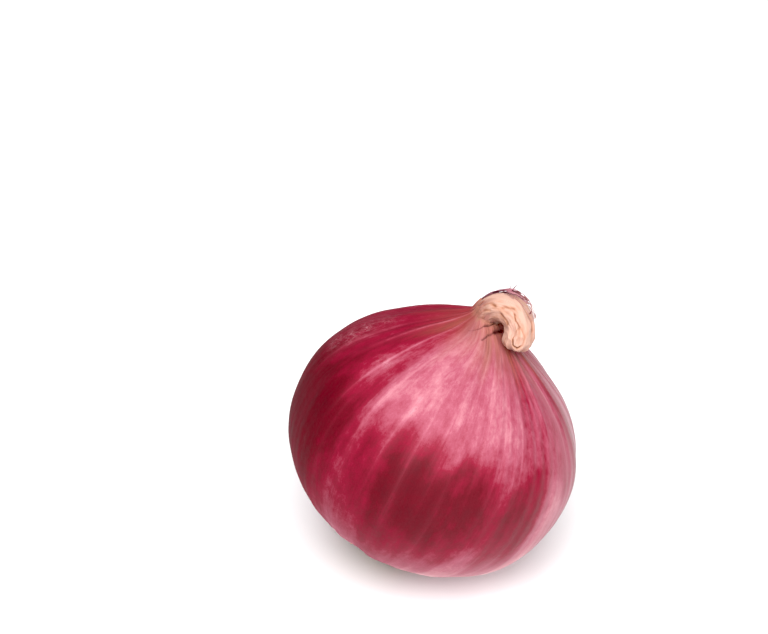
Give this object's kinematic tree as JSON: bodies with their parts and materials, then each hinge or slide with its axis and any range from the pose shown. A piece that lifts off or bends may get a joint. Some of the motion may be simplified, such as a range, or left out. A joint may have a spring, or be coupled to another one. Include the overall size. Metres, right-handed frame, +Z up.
{
  "type": "red onion",
  "caption": "Whole dry red onion: a globe bulb in papery skin with a dry folded neck on top and a low root crust beneath, resting on a small flat spot.",
  "frame": {"origin": "middle of the small flat spot the onion rests on, beside its root crust", "axes": "+Z up from the floor; +X is the way the onion's own axis leans, 27 degrees from upright, so the neck is up and towards +X and the root crust is down and towards -X; +Y completes a right-handed frame"},
  "size_m": [0.0648, 0.0661, 0.065],
  "materials": {
    "onion_skin": "dry crimson papery skin, satin with a soft gloss, paler veins running from neck to root",
    "dry_neck": "matte dry cream to tan papery neck, wrinkled and folded",
    "torn_skin": "thin matte torn edge of outer skin, dull purple to tan, partly see-through",
    "dry_roots": "matte dry tan and cream root stubs on a brown root plate"
  },
  "bodies": {
    "root": {"onion": "onion_skin"}
  },
  "joints": []
}
